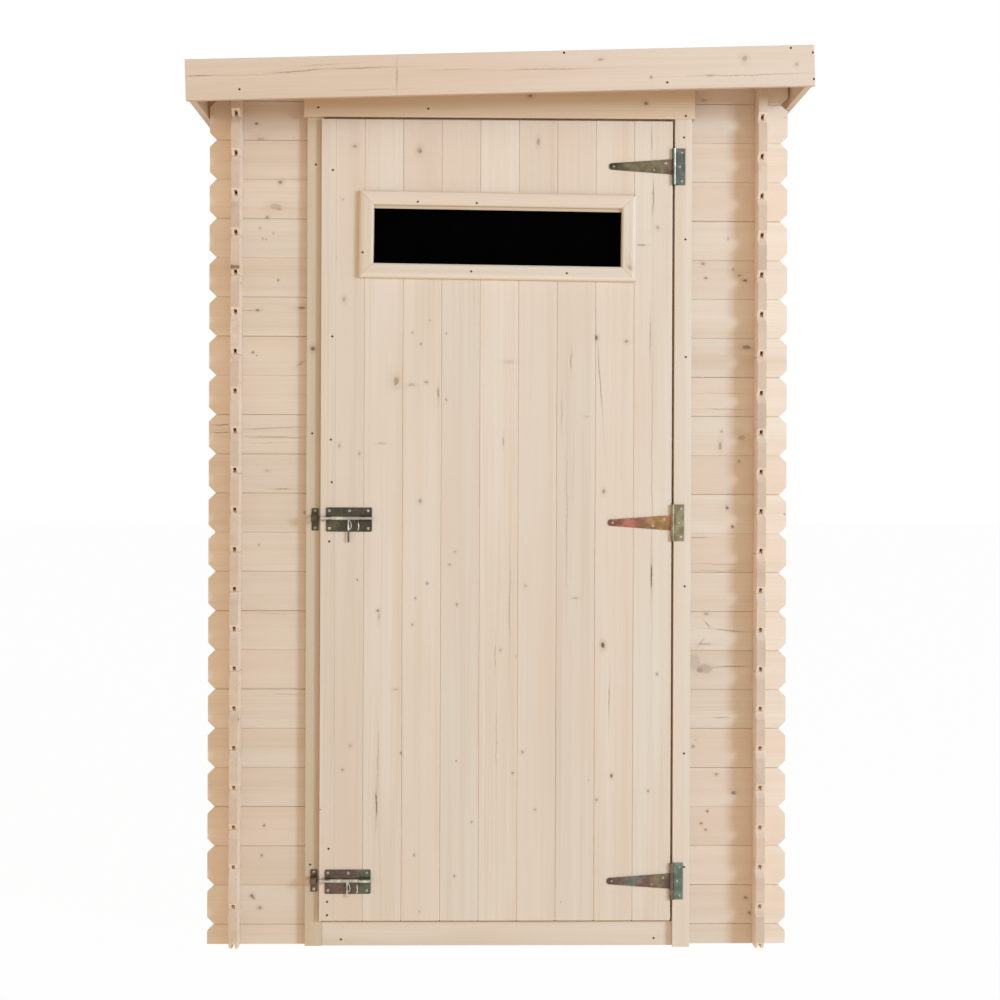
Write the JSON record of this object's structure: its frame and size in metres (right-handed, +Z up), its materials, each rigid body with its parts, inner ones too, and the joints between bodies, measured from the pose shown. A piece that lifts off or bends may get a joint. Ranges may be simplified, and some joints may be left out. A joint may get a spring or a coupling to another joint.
{
  "type": "garden shed",
  "caption": "Small garden shed of interlocked spruce boards with a felted lean-to roof, a boarded door with a narrow window, strap hinges and slide bolts.",
  "frame": {"origin": "on the ground, under the middle of the roof's outline", "axes": "+Z up, the door in the front wall facing -Y, hinged at its +X side"},
  "size_m": [1.352, 1.218, 1.9858],
  "materials": {
    "log_wood": "planed spruce, matt",
    "trim_wood": "planed spruce, matt",
    "roof_felt": "grey mineral roofing felt, rough",
    "yellow_zinc": "yellow-passivated zinc, iridescent",
    "dark_pane": "dark clear sheet, glossy"
  },
  "bodies": {
    "shed": {"front_wall_left": "log_wood", "front_wall_right": "log_wood", "front_wall_top": "log_wood", "back_wall": "log_wood", "left_wall": "log_wood", "right_wall": "log_wood", "front_fascia": "log_wood", "back_fascia": "log_wood", "left_barge": "log_wood", "right_barge": "log_wood", "floor_boards": "log_wood", "roof_deck": "log_wood", "front_sill": "trim_wood", "closing_post": "trim_wood", "hinge_post": "trim_wood", "door_header": "trim_wood", "floor_joists": "trim_wood", "roof_purlins": "trim_wood", "top_hinge_plate": "yellow_zinc", "middle_hinge_plate": "yellow_zinc", "bottom_hinge_plate": "yellow_zinc", "middle_keeper": "yellow_zinc", "lower_keeper": "yellow_zinc", "roof_felt": "roof_felt"},
    "door": {"door_leaf": "log_wood", "door_strip": "log_wood", "door_ledges": "trim_wood", "window_frame_outside": "trim_wood", "window_frame_inside": "trim_wood", "window_pane": "dark_pane", "top_hinge_strap": "yellow_zinc", "middle_hinge_strap": "yellow_zinc", "bottom_hinge_strap": "yellow_zinc", "middle_bolt_case": "yellow_zinc", "lower_bolt_case": "yellow_zinc"},
    "middle_bolt": {"middle_bolt_rod": "yellow_zinc"},
    "lower_bolt": {"lower_bolt_rod": "yellow_zinc"}
  },
  "joints": [
    {"name": "door_swing", "type": "hinge", "parent": "shed", "child": "door", "pos_m": [0.3895, -0.4595, 0.054], "axis": [0, 0, 1], "range_deg": [0, 120]},
    {"name": "middle_bolt_slide", "type": "slide", "parent": "door", "child": "middle_bolt", "axis": [-1, 0, 0], "range_m": [0, 0.021]},
    {"name": "lower_bolt_slide", "type": "slide", "parent": "door", "child": "lower_bolt", "axis": [-1, 0, 0], "range_m": [0, 0.021]}
  ]
}
